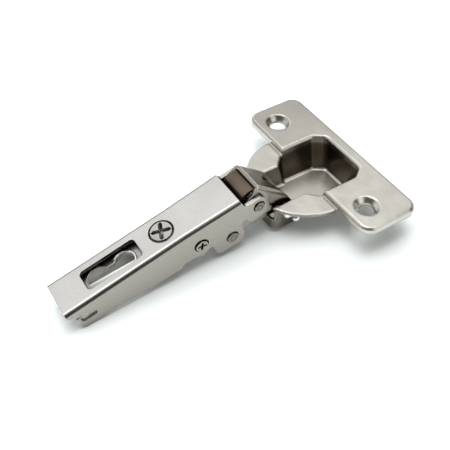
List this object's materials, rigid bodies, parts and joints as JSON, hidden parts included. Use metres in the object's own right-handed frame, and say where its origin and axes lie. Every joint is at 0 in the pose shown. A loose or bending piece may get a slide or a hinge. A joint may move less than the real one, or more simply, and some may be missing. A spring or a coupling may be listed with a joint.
{
  "type": "concealed cup hinge",
  "caption": "Concealed cabinet hinge: channel arm with keyhole bracket, two folded links and a drawn 35 mm cup with a screw flange, stored open.",
  "frame": {"origin": "centre of the 35 mm cup on the outer face of its flange", "axes": "+X from the arm towards the flange, +Y along the row of flange screws, +Z out of the door"},
  "size_m": [0.1025, 0.062, 0.0239],
  "materials": {
    "nickel_steel": "satin nickel plate",
    "bright_steel": "bright nickel plate",
    "spring_steel": "tempered strip",
    "slide_plastic": "moulded acetal"
  },
  "bodies": {
    "arm": {"hinge_arm": "nickel_steel", "keyhole_bracket": "nickel_steel", "adjuster_nut": "bright_steel", "side_screw_near": "bright_steel", "side_screw_far": "bright_steel", "front_pin": "bright_steel", "rear_pin": "bright_steel", "rear_washer_near": "slide_plastic", "rear_washer_far": "slide_plastic", "closing_spring": "spring_steel", "spring_bush": "slide_plastic"},
    "overlay_adjuster": {"overlay_screw": "bright_steel"},
    "outer_link": {"outer_link": "nickel_steel"},
    "cup": {"hinge_cup": "nickel_steel", "cup_staple": "bright_steel", "cup_washer_near": "slide_plastic", "cup_washer_far": "slide_plastic"},
    "inner_link": {"inner_link": "nickel_steel"}
  },
  "joints": [
    {"name": "outer_link_swing", "type": "hinge", "parent": "arm", "child": "outer_link", "pos_m": [-0.02119, 0, 0.00178], "axis": [0, -1, 0], "range_deg": [-12.6, 0]},
    {"name": "cup_swing", "type": "hinge", "parent": "outer_link", "child": "cup", "pos_m": [-0.0086, 0, -0.0082], "axis": [0, -1, 0], "range_deg": [0, 116.7]},
    {"name": "inner_link_swing", "type": "hinge", "parent": "cup", "child": "inner_link", "pos_m": [-0.012, 0, -0.0046], "axis": [0, -1, 0], "range_deg": [-138.7, 0]},
    {"name": "overlay_screw_turn", "type": "hinge", "parent": "arm", "child": "overlay_adjuster", "pos_m": [-0.04765, 0, -0.00636], "axis": [-0.2453, 0, 0.9694], "range_deg": [-360, 360]}
  ],
  "couplings": [
    {"joint": "outer_link_swing", "follows": "cup_swing", "ratio": -0.10714},
    {"joint": "inner_link_swing", "follows": "cup_swing", "ratio": -1.1875}
  ]
}
